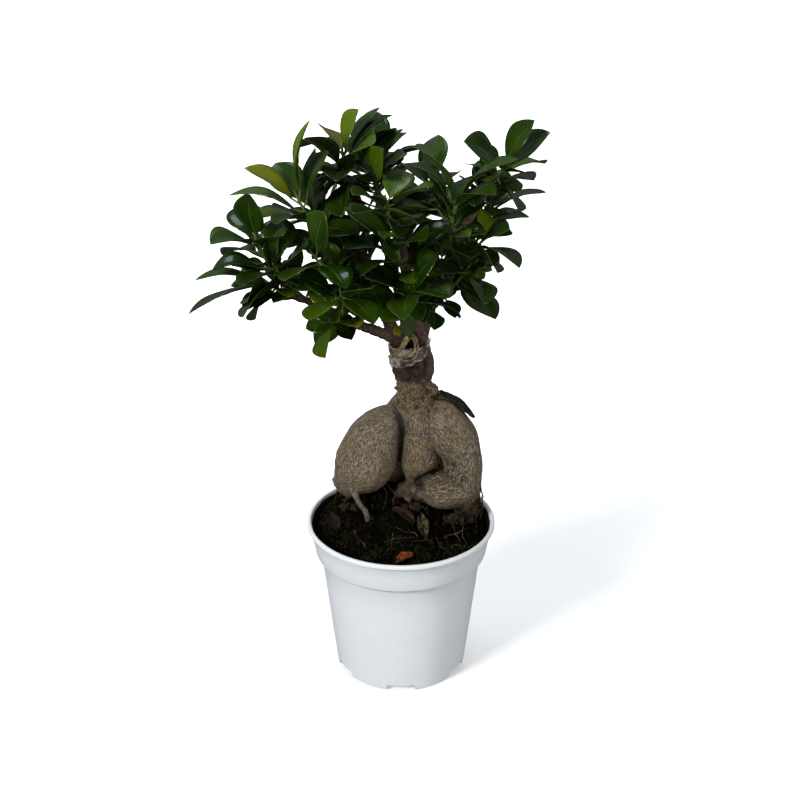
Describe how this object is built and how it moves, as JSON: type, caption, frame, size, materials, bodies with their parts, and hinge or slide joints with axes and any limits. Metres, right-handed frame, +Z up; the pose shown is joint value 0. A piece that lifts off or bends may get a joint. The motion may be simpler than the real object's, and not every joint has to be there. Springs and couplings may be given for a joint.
{
  "type": "potted ficus ginseng bonsai",
  "caption": "Small indoor bonsai with a swollen bulbous root mass, grafted scions and a loose crown of glossy oval leaves, growing in a plain round white nursery pot",
  "frame": {"origin": "the middle of the pot's foot, on the surface that the pot stands on", "axes": "+Z up along the pot's axis, -Y towards the side the tree is shown from, +X to its right"},
  "size_m": [0.2067, 0.1617, 0.3621],
  "materials": {
    "pot_plastic": "satin moulded white plastic",
    "soil": "dark crumbly potting soil with patches of moss",
    "root_bark": "grey-brown bark with fine lengthwise wrinkles",
    "twig_bark": "rough reddish-brown bark",
    "grafting_tape": "thin translucent stretched film, crumpled",
    "dry_strand": "dry straw-coloured strip",
    "dead_leaf": "dry brown leaf",
    "foliage": "waxy glossy green leaves on green stems"
  },
  "bodies": {
    "root": {"pot": "pot_plastic", "soil": "soil", "ginseng_roots": "root_bark", "scion_left": "twig_bark", "scion_right": "twig_bark", "scion_back": "twig_bark", "graft_tape": "grafting_tape", "tie_strand": "dry_strand", "fallen_leaf_front": "dead_leaf", "fallen_leaf_middle": "dead_leaf", "fallen_leaf_right": "dead_leaf", "fallen_leaf_left": "dead_leaf", "dried_leaf": "dead_leaf", "shoot_upper_left": "foliage", "shoot_top_left": "foliage", "shoot_top_middle": "foliage", "shoot_front_middle": "foliage", "shoot_right_middle": "foliage", "shoot_right_front": "foliage", "shoot_top_right": "foliage", "shoot_right": "foliage", "shoot_right_low": "foliage", "shoot_front_low": "foliage", "shoot_left": "foliage", "shoot_left_middle": "foliage", "shoot_left_low": "foliage", "shoot_front_left": "foliage", "shoot_low_left": "foliage", "shoot_low_left_hanging": "foliage", "shoot_middle_low": "foliage", "shoot_middle": "foliage", "shoot_back_middle": "foliage", "shoot_back_left": "foliage", "shoot_back_top": "foliage", "shoot_back_right": "foliage", "shoot_back_centre": "foliage", "shoot_back_low": "foliage", "shoot_back_side": "foliage"}
  },
  "joints": []
}
